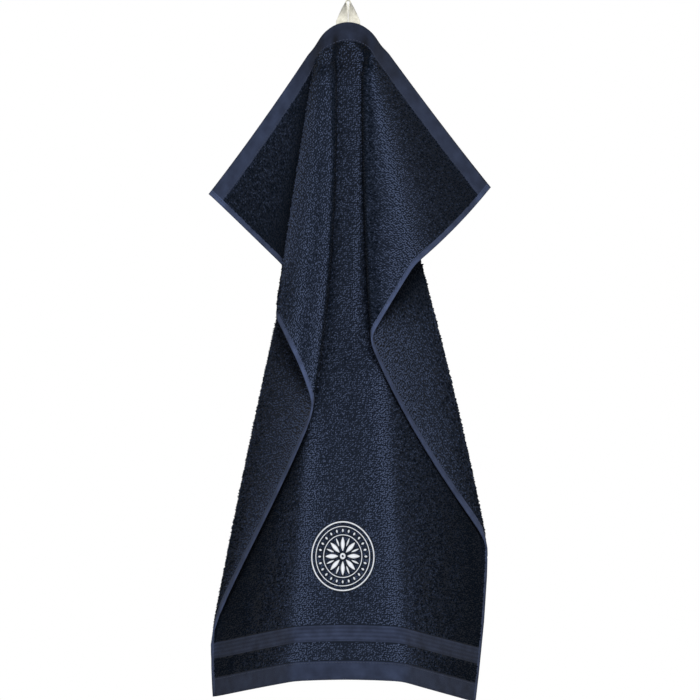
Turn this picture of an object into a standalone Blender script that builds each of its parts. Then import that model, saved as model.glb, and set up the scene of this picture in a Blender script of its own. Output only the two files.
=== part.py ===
"""Hand towel hung from its sewn tape loop, in the folds that its own weight gives it.

Metres, +Z up. The towel is seen face on along +Y, with +X to the right. The origin is the hook seat:
the middle of the inside of the loop's top, where a hook's arm, which points along Y, carries it.
"""
import math

import bmesh
import bpy
import numpy as np

MM = 0.001

# The towel as cut and hemmed, and how far its top edge hangs below the hook seat
CLOTH_WIDTH = 500 * MM
CLOTH_LENGTH = 700 * MM
CLOTH_THICK = 2.0 * MM
HEM_DROP = 23 * MM

# The hanging loop: a flat cotton tape, bent double over the hook
TAPE_WIDTH = 12.5 * MM
TAPE_THICK = 1.0 * MM
TAPE_SEWN = 14 * MM
TAPE_GAP = 0.8 * MM
HOOK_RADIUS = 2.6 * MM
# Between these distances below the hook the tape settles against the back of the hem
TAPE_LEAVES_HOOK = 12 * MM
TAPE_ON_HEM = 21 * MM
TAPE_ON_HEM_LEAN = 0.2

# The cloth hangs as folds that fan out from the loop. Each row is one line that stays straight on the
# cloth, from the left half of the top edge, round by the bottom, to the right half of the top edge.
# A hairpin fold has two rows, one for each side of its bend.
#   angle  degrees on the flat cloth, from straight down, about the middle of the top edge
#   shift  mm that the line passes beside that middle
#   x y z  mm, where the line would start if it were straight all the way up
#   lean back drop   how far it goes right, back and down for each mm of cloth
#   swing  mm that it has bent to the right 400 mm down
FOLD_LINES = (
    # angle  shift     x      y     z    lean    back   drop  swing
    (-90.0,    0.0, -11.0,   0.0, 11.0, -0.528,  0.320, 0.767, -30.0),  # left half of the top edge
    (-61.0,   -5.0, -26.0,   0.0,  6.0, -0.146,  0.165, 0.942,   0.0),  # hidden fold behind the pleat
    (-49.3,   -7.0, -29.0,  -4.0,  5.0, -0.148, -0.055, 0.985,   0.0),  # left side of the front pleat
    (-44.0,   -2.0, -23.0, -13.0,  4.0, -0.085, -0.110, 0.988,  -8.0),  # front of the pleat
    (-38.2,    4.0, -14.7, -13.7,  2.0,  0.000, -0.110, 0.990, -22.0),  # right edge of the pleat,
    (-38.2,   10.0, -10.3,  -8.3,  2.0,  0.000, -0.110, 0.990, -22.0),  # and its inner side
    (-21.0,   -4.0,  -5.1, -15.3,  0.0, -0.232,  0.155, 0.968,   2.7),  # fold at the left outline,
    (-21.0,    2.0,   0.1, -10.7,  0.0, -0.232,  0.155, 0.968,   2.7),  # and its inner side
    (-20.0,    5.0,   0.3, -11.4,  0.0, -0.219,  0.140, 0.975,   2.7),  # line to the left corner
    (-4.1,   -11.0,  -9.0,   1.0,  0.0, -0.070, -0.060, 0.996,   0.0),  # left ridge of the middle
    (0.2,      0.0,   3.0,   2.0,  0.0, -0.010, -0.050, 0.998,   0.8),  # hollow of the middle
    (4.4,     11.0,  15.0,   1.0,  0.0,  0.050, -0.060, 0.996,   1.5),  # right ridge of the middle
    (19.95,   -3.9,   4.0,  -8.0,  0.0,  0.247,  0.119, 0.981,  -8.0),  # line to the right corner
    (25.4,    -7.0,   1.3, -10.8,  0.0,  0.283,  0.185, 0.960,  -6.0),  # fold at the right outline,
    (25.4,    -1.0,   6.7, -15.2,  0.0,  0.283,  0.185, 0.960,  -6.0),  # and its outer side
    (48.2,   -10.0,  13.7,  -8.4,  2.0,  0.000, -0.110, 0.985,  13.0),  # left edge of the wing,
    (48.2,    -4.0,  18.3, -13.6,  2.0,  0.000, -0.110, 0.985,  13.0),  # and its outer side
    (60.0,     0.0,  14.0, -12.0,  6.0,  0.195, -0.115, 0.918,   0.0),  # ridge of the wing
    (90.0,     0.0,  10.0,   0.0, 11.0,  0.554,  0.290, 0.740,  20.0),  # right half of the top edge
)
SWING_AT = 400 * MM

# The fold lines meet near the loop, so there they keep the places that they have at this distance
FAN_START = 65 * MM
# A fold is rounded over this much cloth, and over more of it lower down: the place of each point is a
# mean over neighbours as far as this to both sides
FOLD_SOFT = 4.0 * MM
FOLD_SOFTER = 0.012
FOLD_SOFT_LIMIT = 0.6
FOLD_TAPS = 9
FOLD_TAP_REACH = 1.6
# The hem over the loop's ends is a low arch, and the folds grow out of it between two distances
ARCH_RADIUS = 33 * MM
ARCH_BACK = 2.0
ARCH_TILT = 0.05
FOLDS_BEGIN = 20 * MM
FOLDS_FULL = 60 * MM
SMALLEST_REACH = 0.01 * MM
SMALLEST_ANGLE = 1e-4

# The cloth's mesh follows the fan: a line this many degrees to each side of a fold, the rest as many
# degrees apart as the step, and rows that lie closer together near the loop
FOLD_SPREAD = 1.8
PANEL_STEP = 4.6
ROWS_DOWN = 37
ROW_GROWTH = 1.8
TOP_SPREAD_FADES = 6
END_ROUNDS = 12
TAPE_ROWS = 45
TAPE_COLUMNS = 4

NAVY = (0.018, 0.025, 0.047, 1.0)
CREAM = (0.72, 0.70, 0.62, 1.0)


def clear_scene():
    for old in list(bpy.data.objects):
        bpy.data.objects.remove(old, do_unlink=True)


def make_material(name, colour, roughness):
    material = bpy.data.materials.new(name)
    material.use_nodes = True
    shader = material.node_tree.nodes["Principled BSDF"]
    shader.inputs["Base Color"].default_value = colour
    shader.inputs["Roughness"].default_value = roughness
    shader.inputs["Metallic"].default_value = 0.0
    return material


TABLE = np.array(FOLD_LINES)
ANGLE = np.radians(TABLE[:, 0])
SHIFT = TABLE[:, 1] * MM
ROOT = TABLE[:, 2:5] * MM
RUN = TABLE[:, 5:8] * np.array((1.0, 1.0, -1.0))
SWING = TABLE[:, 8] * MM


def smooth_step(value, low, high):
    t = np.clip((value - low) / (high - low), 0.0, 1.0)
    return t * t * (3.0 - 2.0 * t)


def creased(angle, reach):
    """Where the cloth at an angle and a distance from the middle of its top edge hangs, folds sharp."""
    lines = ANGLE[:, None] + SHIFT[:, None] / np.maximum(reach, FAN_START)[None, :]
    panel = np.clip((angle[None, :] > lines).sum(axis=0) - 1, 0, len(ANGLE) - 2)
    point = np.arange(len(reach))
    low = lines[panel, point]
    high = lines[panel + 1, point]
    across = (angle - low) / (high - low)
    start, end = RUN[panel], RUN[panel + 1]
    cosine = (start * end).sum(axis=1) / (np.linalg.norm(start, axis=1) * np.linalg.norm(end, axis=1))
    opening = np.maximum(np.arccos(np.clip(cosine, -1.0, 1.0)), SMALLEST_ANGLE)
    first = (np.sin((1.0 - across) * opening) / np.sin(opening))[:, None]
    second = (np.sin(across * opening) / np.sin(opening))[:, None]
    inside = np.clip(across, 0.0, 1.0)
    share = inside[:, None]
    place = (1.0 - share) * ROOT[panel] + share * ROOT[panel + 1]
    place = place + reach[:, None] * (first * start + second * end)
    swing = (1.0 - inside) * SWING[panel] + inside * SWING[panel + 1]
    place[:, 0] += swing * (reach / SWING_AT) ** 3
    return place


def drape(u, v):
    """Where the cloth's middle layer hangs: u is metres right of its centre line, v metres down it."""
    reach = np.maximum(np.hypot(u, v), SMALLEST_REACH)
    angle = np.arctan2(u, v)
    spread = np.minimum((FOLD_SOFT + FOLD_SOFTER * reach) / reach, FOLD_SOFT_LIMIT)
    taps = np.linspace(-FOLD_TAP_REACH, FOLD_TAP_REACH, FOLD_TAPS)
    weights = np.exp(-taps ** 2)
    weights = weights / weights.sum()
    folds = np.zeros((len(reach), 3))
    for tap, weight in zip(taps, weights):
        folds += weight * creased(angle + tap * spread, reach)
    turn = u / ARCH_RADIUS
    arch = np.stack((
        ARCH_RADIUS * np.sin(turn),
        ARCH_BACK * u ** 2 - ARCH_TILT * v,
        -v - ARCH_RADIUS * (1.0 - np.cos(turn)),
    ), axis=1)
    share = smooth_step(reach, FOLDS_BEGIN, FOLDS_FULL)[:, None]
    place = folds * share + arch * (1.0 - share)
    place[:, 2] -= HEM_DROP
    return place


def fan_lines():
    """The mesh's lines, as places in the table: 2.5 is half way between the third and fourth row."""
    places = [0.0]
    for row, (here, there) in enumerate(zip(TABLE[:-1, 0], TABLE[1:, 0])):
        gap = there - here
        near = FOLD_SPREAD / gap if gap > 3.0 * FOLD_SPREAD else 0.5
        inner = max(0, math.ceil((1.0 - 2.0 * near) * gap / PANEL_STEP))
        steps = [near + (1.0 - 2.0 * near) * step / max(inner, 1) for step in range(inner + 1)]
        places += [row + step for step in steps] + [row + 1.0]
    return np.array(places)


def line_angle(line, reach):
    """The angle on the flat cloth of a line of the mesh, at a distance from the middle of the top."""
    low = np.minimum(line.astype(int), len(TABLE) - 2)
    share = line - low
    angle = (1.0 - share) * ANGLE[low] + share * ANGLE[low + 1]
    shift = (1.0 - share) * SHIFT[low] + share * SHIFT[low + 1]
    return angle + shift / np.maximum(reach, FAN_START)


def line_end(line):
    """How far each line reaches before it meets a selvedge or the bottom edge."""
    reach = np.full(len(line), CLOTH_LENGTH)
    for _ in range(END_ROUNDS):
        angle = line_angle(line, reach)
        side = CLOTH_WIDTH / 2 / np.maximum(np.abs(np.sin(angle)), SMALLEST_ANGLE)
        bottom = CLOTH_LENGTH / np.maximum(np.cos(angle), SMALLEST_ANGLE)
        reach = np.minimum(side, bottom)
    return reach


def add_sheet(name, columns, rows, place_points, thickness, material, collection):
    """A grid of points, put in place by a function of its columns and rows, and given its thickness."""
    mesh = bpy.data.meshes.new(name)
    grid = bmesh.new()
    bmesh.ops.create_grid(grid, x_segments=columns - 1, y_segments=rows - 1, size=1.0)
    across = np.array([round((vert.co.x + 1.0) / 2.0 * (columns - 1)) for vert in grid.verts])
    down = np.array([round((1.0 - vert.co.y) / 2.0 * (rows - 1)) for vert in grid.verts])
    for vert, place in zip(grid.verts, place_points(across, down)):
        vert.co = place
    grid.to_mesh(mesh)
    grid.free()
    sheet = bpy.data.objects.new(name, mesh)
    collection.objects.link(sheet)
    solid = sheet.modifiers.new("Thickness", 'SOLIDIFY')
    solid.thickness = thickness
    solid.offset = 0.0
    mesh.materials.append(material)
    mesh.shade_smooth()
    return sheet


def add_towel(collection):
    """The terry cloth with its hems, which are part of it: one sheet, in its hanging folds."""
    lines = fan_lines()
    ends = line_end(lines)

    def place_points(across, down):
        share = (down / (ROWS_DOWN - 1)) ** ROW_GROWTH
        reach = share * ends[across]
        angle = line_angle(lines[across], reach)
        # Near the loop the lines start side by side along the top edge, and not at one point
        start = (1.0 - share) ** TOP_SPREAD_FADES * FOLDS_BEGIN * np.sin(angle)
        return drape(reach * np.sin(angle) + start, reach * np.cos(angle))

    material = make_material("navy terry", NAVY, 0.95)
    return add_sheet("towel", len(lines), ROWS_DOWN, place_points, CLOTH_THICK, material, collection)


# The loop's tape, from its middle over the hook to one sewn end. Each row is one place along it.
#   z      mm from the hook seat
#   apart  mm from the centre plane to the middle of the tape
#   turn   degrees that the tape has turned, from edge on at the hook to flat against the hem
TAPE_LEG = (
    #   z   apart   turn
    (-3.1,   3.1,   0.0),
    (-5.5,   3.4,   0.0),
    (-8.0,   3.8,  10.0),
    (-10.7,  4.5,  27.0),
    (-13.4,  5.2,  43.0),
    (-16.0,  5.8,  58.0),
    (-18.5,  6.3,  73.0),
    (-21.0,  6.6,  86.0),
    (-23.0, 6.65,  90.0),
)


def add_loop(collection):
    """The hanging loop: cotton tape that crosses the hook edge on, turns, and is sewn behind the hem."""
    leg = np.array(TAPE_LEG) * np.array((MM, MM, math.pi / 180.0))
    bend = HOOK_RADIUS + TAPE_THICK / 2
    arc = bend * math.pi / 2
    heights = -leg[:, 0]
    free_end = heights[-1]
    total = arc + (free_end - bend) + TAPE_SEWN

    def place_points(across, down):
        along = (down / (TAPE_ROWS - 1) * 2.0 - 1.0) * total
        side = np.where(along < 0.0, -1.0, 1.0)
        along = np.abs(along)
        width = (across / (TAPE_COLUMNS - 1) - 0.5) * TAPE_WIDTH
        over = np.clip(along / arc, 0.0, 1.0) * math.pi / 2
        below = np.clip(along - arc, 0.0, None) + bend
        on_hook = along < arc
        apart = np.where(on_hook, bend * np.sin(over), np.interp(below, heights, leg[:, 1]))
        drop = np.where(on_hook, bend * (1.0 - np.cos(over)), below)
        turn = np.where(on_hook, 0.0, np.interp(below, heights, leg[:, 2]))
        # The tape's inner edge comes forward as it turns, and its outer edge goes back
        x = side * (apart - width * np.sin(turn))
        y = -width * np.cos(turn)
        z = TAPE_THICK / 2 - drop
        behind = CLOTH_THICK / 2 + TAPE_GAP + TAPE_THICK / 2
        hem = drape(x, np.maximum(drop - HEM_DROP, 0.0))
        to_hem = smooth_step(below, TAPE_LEAVES_HOOK, TAPE_ON_HEM)
        y = y * (1.0 - to_hem) + (hem[:, 1] + behind + TAPE_ON_HEM_LEAN * y) * to_hem
        return np.stack((x, y, z), axis=1)

    material = make_material("cream cotton tape", CREAM, 0.85)
    return add_sheet("hanging_loop", TAPE_COLUMNS, TAPE_ROWS, place_points, TAPE_THICK, material, collection)


clear_scene()
parts = bpy.data.collections.new("hand_towel")
bpy.context.scene.collection.children.link(parts)
add_towel(parts)
add_loop(parts)
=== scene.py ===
# %% [markdown]
# # A terry hand towel on its loop
# The towel is a length of woven cotton with loops of yarn on both faces. It hangs from one point, so it
# falls in a fan of straight folds. This lesson drapes a fine sheet along those folds, covers it with pile,
# sews its hems, embroiders a round rosette and makes the tape loop. Blender could also simulate the cloth,
# but the folds of this towel are known, and a simulation would settle into folds of its own.

# %% The frame that the towel is built around
import math

import bmesh
import bpy
import numpy as np
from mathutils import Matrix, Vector


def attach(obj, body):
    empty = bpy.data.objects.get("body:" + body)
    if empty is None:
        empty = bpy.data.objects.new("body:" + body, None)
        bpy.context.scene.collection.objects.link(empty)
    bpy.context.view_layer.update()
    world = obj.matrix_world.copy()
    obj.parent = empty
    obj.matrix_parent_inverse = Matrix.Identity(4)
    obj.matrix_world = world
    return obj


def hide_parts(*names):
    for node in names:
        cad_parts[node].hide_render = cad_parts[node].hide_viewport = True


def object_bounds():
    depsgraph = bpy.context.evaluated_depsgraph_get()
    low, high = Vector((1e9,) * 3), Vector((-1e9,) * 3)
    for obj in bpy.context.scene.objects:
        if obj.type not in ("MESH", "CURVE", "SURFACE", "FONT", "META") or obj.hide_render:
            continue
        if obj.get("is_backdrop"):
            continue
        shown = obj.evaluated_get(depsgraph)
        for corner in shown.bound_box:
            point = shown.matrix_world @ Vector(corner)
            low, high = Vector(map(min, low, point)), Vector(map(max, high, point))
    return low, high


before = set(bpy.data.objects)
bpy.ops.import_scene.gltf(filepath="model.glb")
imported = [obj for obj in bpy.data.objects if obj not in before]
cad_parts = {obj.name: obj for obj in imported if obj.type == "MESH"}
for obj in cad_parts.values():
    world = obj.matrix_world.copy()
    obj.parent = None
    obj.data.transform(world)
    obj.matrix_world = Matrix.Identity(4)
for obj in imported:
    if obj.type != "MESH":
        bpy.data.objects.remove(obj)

MM = 0.001
cad_box = [list(corner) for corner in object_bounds()]
print("packed model, in metres:", [[round(x, 4) for x in corner] for corner in cad_box])

# %% [markdown]
# ## Helpers for materials and objects
# Colours are written as they are seen on a screen, as hex values. Blender's shaders want linear values, so
# one function turns the one into the other. A second adds one node with its settings and its links, and
# the rest are built on these two.

# %% Colours, nodes and objects
FIBRE_IOR = 1.53
SHEEN_ROUGHNESS = 0.6


def linear(hex_colour):
    """A screen colour such as #2b3349 as the linear values that a shader needs."""
    parts = [int(hex_colour[i:i + 2], 16) / 255 for i in (1, 3, 5)]
    return tuple(p / 12.92 if p <= 0.04045 else ((p + 0.055) / 1.055) ** 2.4 for p in parts) + (1.0,)


def add_node(tree, kind, settings=None, inputs=None):
    """Adds a node. Its settings are its own properties; its inputs are values, or other nodes' outputs."""
    node = tree.nodes.new("ShaderNode" + kind)
    for name, value in (settings or {}).items():
        setattr(node, name, value)
    for name, value in (inputs or {}).items():
        if isinstance(value, bpy.types.NodeSocket):
            tree.links.new(value, node.inputs[name])
        else:
            node.inputs[name].default_value = value
    return node


def new_material(name, roughness, sheen=0.0, gloss=0.5):
    """A Principled material, and its tree and shader, with the numbers that are the same all over."""
    material = bpy.data.materials.new(name)
    material.use_nodes = True
    shader = material.node_tree.nodes["Principled BSDF"]
    shader.inputs["Roughness"].default_value = roughness
    shader.inputs["IOR"].default_value = FIBRE_IOR
    shader.inputs["Specular IOR Level"].default_value = gloss
    shader.inputs["Sheen Weight"].default_value = sheen
    shader.inputs["Sheen Roughness"].default_value = SHEEN_ROUGHNESS
    return material, material.node_tree, shader


def ramp_colour(tree, value, low, high):
    """A value as a colour, by a ramp between two stops. Each stop is a position and a screen colour."""
    ramp = add_node(tree, "ValToRGB", inputs={"Fac": value})
    for stop, (position, hex_colour) in zip(ramp.color_ramp.elements, (low, high)):
        stop.position = position
        stop.color = linear(hex_colour)
    return ramp.outputs["Color"]


def mixed_colour(tree, factor, first, second, blend='MIX'):
    """Two colours mixed. The Mix node's sockets 6, 7 and 2 are those for colours."""
    mix = add_node(tree, "Mix", {"data_type": 'RGBA', "blend_type": blend},
                   {"Factor": factor, 6: first, 7: second})
    return mix.outputs[2]


def add_bumps(tree, shader, height, strength, distance):
    bump = add_node(tree, "Bump", inputs={"Height": height, "Strength": strength, "Distance": distance})
    tree.links.new(bump.outputs["Normal"], shader.inputs["Normal"])


def add_object(name, data):
    """An object that shows a mesh, a lamp or a camera in the scene."""
    thing = bpy.data.objects.new(name, data)
    bpy.context.scene.collection.objects.link(thing)
    return thing

# %% [markdown]
# ## Where the cloth hangs
# A towel on a hook keeps straight lines of cloth from the hook down to its edges, and folds along them.
# So its shape is a table: one row for each fold line, with its place on the flat cloth, where it starts
# and which way it runs. Between two lines the cloth is a nearly flat panel. The rows and the rounding are
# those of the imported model's towel, so that the fine cloth lies where the solid one is. The last column is
# this lesson's own: the edges of the two flaps hang in a soft curve.

# %% The fold lines
CLOTH_WIDTH = 500 * MM
CLOTH_LENGTH = 700 * MM
# The top edge's middle hangs this far below the seat of the loop
HEM_DROP = 23 * MM
# Degrees and a shift in mm on the flat cloth, then where the line would start if it were straight all the
# way up, how far it goes right, back and down for each mm of cloth, and its bend and sag 400 mm down
FOLD_LINES = np.array((
    # angle  shift     x      y     z    lean    back   drop  swing   sag
    (-90.0,    0.0, -11.0,   0.0, 11.0, -0.528,  0.320, 0.767, -30.0,   0.0),  # left half of the top edge
    (-61.0,   -5.0, -26.0,   0.0,  6.0, -0.146,  0.165, 0.942,   0.0,   0.0),  # hidden fold behind the pleat
    (-49.3,   -7.0, -29.0,  -4.0,  5.0, -0.148, -0.055, 0.985,   0.0,   0.0),  # left side of the front pleat
    (-44.0,   -2.0, -23.0, -13.0,  4.0, -0.085, -0.110, 0.988,  -8.0,   0.0),  # front of the pleat
    (-38.2,    4.0, -14.7, -13.7,  2.0,  0.000, -0.110, 0.990, -22.0,   0.0),  # right edge of the pleat,
    (-38.2,   10.0, -10.3,  -8.3,  2.0,  0.000, -0.110, 0.990, -22.0,  16.0),  # and its inner side
    (-21.0,   -4.0,  -5.1, -15.3,  0.0, -0.232,  0.155, 0.968,   2.7,   0.0),  # fold at the left outline,
    (-21.0,    2.0,   0.1, -10.7,  0.0, -0.232,  0.155, 0.968,   2.7,   0.0),  # and its inner side
    (-20.0,    5.0,   0.3, -11.4,  0.0, -0.219,  0.140, 0.975,   2.7,   0.0),  # line to the left corner
    (-4.1,   -11.0,  -9.0,   1.0,  0.0, -0.070, -0.060, 0.996,   0.0,   0.0),  # left ridge of the middle
    (0.2,      0.0,   3.0,   2.0,  0.0, -0.010, -0.050, 0.998,   0.8,   0.0),  # hollow of the middle
    (4.4,     11.0,  15.0,   1.0,  0.0,  0.050, -0.060, 0.996,   1.5,   0.0),  # right ridge of the middle
    (19.95,   -3.9,   4.0,  -8.0,  0.0,  0.247,  0.119, 0.981,  -8.0,   0.0),  # line to the right corner
    (25.4,    -7.0,   1.3, -10.8,  0.0,  0.283,  0.185, 0.960,  -6.0,   0.0),  # fold at the right outline,
    (25.4,    -1.0,   6.7, -15.2,  0.0,  0.283,  0.185, 0.960,  -6.0,  22.0),  # and its outer side
    (48.2,   -10.0,  13.7,  -8.4,  2.0,  0.000, -0.110, 0.985,  13.0,   0.0),  # left edge of the wing,
    (48.2,    -4.0,  18.3, -13.6,  2.0,  0.000, -0.110, 0.985,  13.0,   0.0),  # and its outer side
    (60.0,     0.0,  14.0, -12.0,  6.0,  0.195, -0.115, 0.918,   0.0,   0.0),  # ridge of the wing
    (90.0,     0.0,  10.0,   0.0, 11.0,  0.554,  0.290, 0.740,  20.0,   0.0),  # right half of the top edge
))
ANGLE = np.radians(FOLD_LINES[:, 0])
SHIFT = FOLD_LINES[:, 1] * MM
ROOT = FOLD_LINES[:, 2:5] * MM
RUN = FOLD_LINES[:, 5:8] * np.array((1.0, 1.0, -1.0))
SWING = FOLD_LINES[:, 8] * MM
SAG = FOLD_LINES[:, 9] * MM
SWING_AT = 400 * MM
# The lines meet near the loop, so there they keep the places that they have at this distance
FAN_START = 65 * MM
# A fold is rounded over this much cloth, and over more of it lower down
FOLD_SOFT = 4.0 * MM
FOLD_SOFTER = 0.012
FOLD_SOFT_LIMIT = 0.6
FOLD_TAPS = 9
FOLD_TAP_REACH = 1.6
# The hem over the loop's ends is a low arch, and the folds grow out of it between two distances
ARCH_RADIUS = 33 * MM
ARCH_BACK = 2.0
ARCH_TILT = 0.05
FOLDS_BEGIN = 20 * MM
FOLDS_FULL = 60 * MM
SMALLEST_REACH = 0.01 * MM
SMALLEST_ANGLE = 1e-4


def smooth_step(value, low, high):
    """From 0 to 1 as the value goes from low to high, with no corner at either end."""
    t = np.clip((value - low) / (high - low), 0.0, 1.0)
    return t * t * (3.0 - 2.0 * t)


def creased(angle, reach):
    """Where the cloth hangs with its folds still sharp, at an angle and distance from its top middle."""
    lines = ANGLE[:, None] + SHIFT[:, None] / np.maximum(reach, FAN_START)[None, :]
    panel = np.clip((angle[None, :] > lines).sum(axis=0) - 1, 0, len(ANGLE) - 2)
    point = np.arange(len(reach))
    across = (angle - lines[panel, point]) / (lines[panel + 1, point] - lines[panel, point])
    start, end = RUN[panel], RUN[panel + 1]
    cosine = (start * end).sum(axis=1) / (np.linalg.norm(start, axis=1) * np.linalg.norm(end, axis=1))
    opening = np.maximum(np.arccos(np.clip(cosine, -1.0, 1.0)), SMALLEST_ANGLE)
    first = (np.sin((1.0 - across) * opening) / np.sin(opening))[:, None]
    second = (np.sin(across * opening) / np.sin(opening))[:, None]
    share = np.clip(across, 0.0, 1.0)
    place = (1.0 - share)[:, None] * ROOT[panel] + share[:, None] * ROOT[panel + 1]
    place = place + reach[:, None] * (first * start + second * end)
    swing = (1.0 - share) * SWING[panel] + share * SWING[panel + 1]
    place[:, 0] += swing * (reach / SWING_AT) ** 3
    place[:, 2] -= SAG[panel] * 4.0 * share * (1.0 - share) * reach / SWING_AT
    return place

# %% [markdown]
# ## Rounded folds and small creases
# Terry is thick, so no fold in it is sharp: each point is averaged with its neighbours, over more cloth
# lower down. Near the loop the top hem is stiff and stays one low arch. A second table adds what handling
# leaves in the cloth, as soft troughs and ridges of a millimetre or two.

# %% The draped surface
CREASES = np.array((
    #  u     v   slope  long wide  height
    (-16,   21,   88,    9,  3.0, -1.2),  # pinches beside the loop's seam
    (17,    22,   92,   10,  3.0, -1.2),
    (1,     14,    0,   12,  5.0,  0.9),  # ridge over the loop's ends
    (-120, 150,   38,   60, 14.0,  1.4),
    (-170, 190,   60,   45, 12.0, -1.3),
    (150,   95,  -62,   70, 16.0,  1.6),
    (185,  170,  -40,   50, 14.0, -1.4),
    (120,  210,  -28,   60, 13.0,  1.3),
    (12,   240,   -2,   80, 10.0,  1.2),
    (-22,  430,    3,   90, 11.0, -1.2),
    (30,   520,   -4,   80, 12.0,  1.3),
    (-95,  560,    9,   70, 15.0,  1.6),
    (-150, 600,   12,   60, 16.0, -1.5),
    (95,   600,   -8,   70, 14.0,  1.6),
    (165,  560,  -12,   60, 15.0, -1.5),
    (-185, 420,   20,   70, 14.0,  1.5),
    (205,  400,  -18,   70, 14.0,  1.5),
    (-60,  670,    6,   25,  9.0, -1.4),
    (45,   675,   -5,   25,  9.0,  1.2),
    (-210, 680,    8,   22, 12.0,  1.6),
    (200,  682,   -8,   22, 12.0, -1.5),
)) * np.array((MM, MM, math.pi / 180, MM, MM, MM))


def drape(u, v):
    """Where the cloth's middle hangs: u is metres right of its centre line and v metres down it."""
    reach = np.maximum(np.hypot(u, v), SMALLEST_REACH)
    angle = np.arctan2(u, v)
    spread = np.minimum((FOLD_SOFT + FOLD_SOFTER * reach) / reach, FOLD_SOFT_LIMIT)
    taps = np.linspace(-FOLD_TAP_REACH, FOLD_TAP_REACH, FOLD_TAPS)
    weights = np.exp(-taps ** 2) / np.exp(-taps ** 2).sum()
    folds = sum(weight * creased(angle + tap * spread, reach) for tap, weight in zip(taps, weights))
    turn = u / ARCH_RADIUS
    arch = np.stack((ARCH_RADIUS * np.sin(turn), ARCH_BACK * u ** 2 - ARCH_TILT * v,
                     -v - ARCH_RADIUS * (1.0 - np.cos(turn))), axis=1)
    share = smooth_step(reach, FOLDS_BEGIN, FOLDS_FULL)[:, None]
    place = folds * share + arch * (1.0 - share)
    place[:, 2] -= HEM_DROP
    for cu, cv, slope, long, wide, height in CREASES:
        along = (u - cu) * math.sin(slope) + (v - cv) * math.cos(slope)
        beside = (u - cu) * math.cos(slope) - (v - cv) * math.sin(slope)
        place[:, 1] -= height * np.exp(-(along / long) ** 2 - (beside / wide) ** 2)
    return place


def surface(u, v):
    """The place on the cloth, the ways that u and v run there, and the way that its front faces."""
    step = 0.4 * MM
    place = drape(u, v)
    along_u = drape(u + step, v) - drape(u - step, v)
    along_v = drape(u, v + step) - drape(u, v - step)
    front = np.cross(along_v, along_u)
    unit = [a / np.maximum(np.linalg.norm(a, axis=1), 1e-9)[:, None] for a in (along_u, along_v, front)]
    return place, unit[0], unit[1], unit[2]


corners = drape(np.array((-CLOTH_WIDTH / 2, CLOTH_WIDTH / 2)), np.full(2, CLOTH_LENGTH))
print("the bottom corners hang at", corners.round(3).tolist())

# %% [markdown]
# ## How deep each place lies in the folds
# In the gaps between folds the light is blocked on most sides, and deep navy cloth gives almost none back.
# A few soft lamps can't show that well on so dark a cloth. So the cloth carries some of that shade itself:
# a map keeps the nearest cloth seen from the front, or from the back, and each place is compared with the
# mean of what hangs around it.

# %% Maps of how deep the cloth hangs
CELL = 4 * MM
MAP_LEFT = -200 * MM
MAP_TOP = 20 * MM
MAP_COLUMNS, MAP_ROWS = 101, 201
MAP_SAMPLE = 3 * MM
MAP_BLURS = (2, 9)
# Cells with no cloth in them
FAR = 1.0


def blurred(values, wide):
    """A map averaged over cells around each one, by a bell curve that is this many cells wide."""
    cells = np.arange(-3 * wide, 3 * wide + 1)
    bell = np.exp(-(cells / wide) ** 2 / 2)
    for axis in (0, 1):
        values = np.apply_along_axis(np.convolve, axis, values, bell, mode="same")
    return values


def depth_maps(side):
    """The mean depth of the nearest cloth, around each cell, over a narrow and over a wide patch."""
    flat_u, flat_v = np.meshgrid(np.arange(-CLOTH_WIDTH / 2, CLOTH_WIDTH / 2, MAP_SAMPLE),
                                 np.arange(0.0, CLOTH_LENGTH, MAP_SAMPLE))
    place = drape(flat_u.ravel(), flat_v.ravel())
    column = np.rint((place[:, 0] - MAP_LEFT) / CELL).astype(int)
    row = np.rint((MAP_TOP - place[:, 2]) / CELL).astype(int)
    nearest = np.full((MAP_COLUMNS, MAP_ROWS), FAR)
    np.minimum.at(nearest, (column, row), place[:, 1] * side)
    there = nearest < FAR
    return [blurred(nearest * there, wide) / np.maximum(blurred(there * 1.0, wide), 1e-6)
            for wide in MAP_BLURS]


DEPTH_MAPS = {side: depth_maps(side) for side in (1.0, -1.0)}
print("each map has", MAP_COLUMNS, "by", MAP_ROWS, "cells")

# %% The shade of the folds
# Lighter for each millimetre in front of the cloth close by, and darker for each one behind it,
PROUD_LIGHT = 0.028
SUNKEN_SHADE = 0.03
# behind the cloth farther around,
RECESS_SHADE = 0.009
# or farther back than this level
BACK_SHADE = 0.0025
BACK_LEVEL = -10.0
# Millimetres past which depth changes no more, close by and farther around
NEAR_RANGE = (-8.0, 14.0)
WIDE_RANGE = (-20.0, 40.0)
# Darker where the face turns away to the side, from the first amount to the second
TURNED_SHADE = 0.66
TURNED_RANGE = (0.04, 0.44)
SHADE_RANGE = (-0.8, 0.25)


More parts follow.
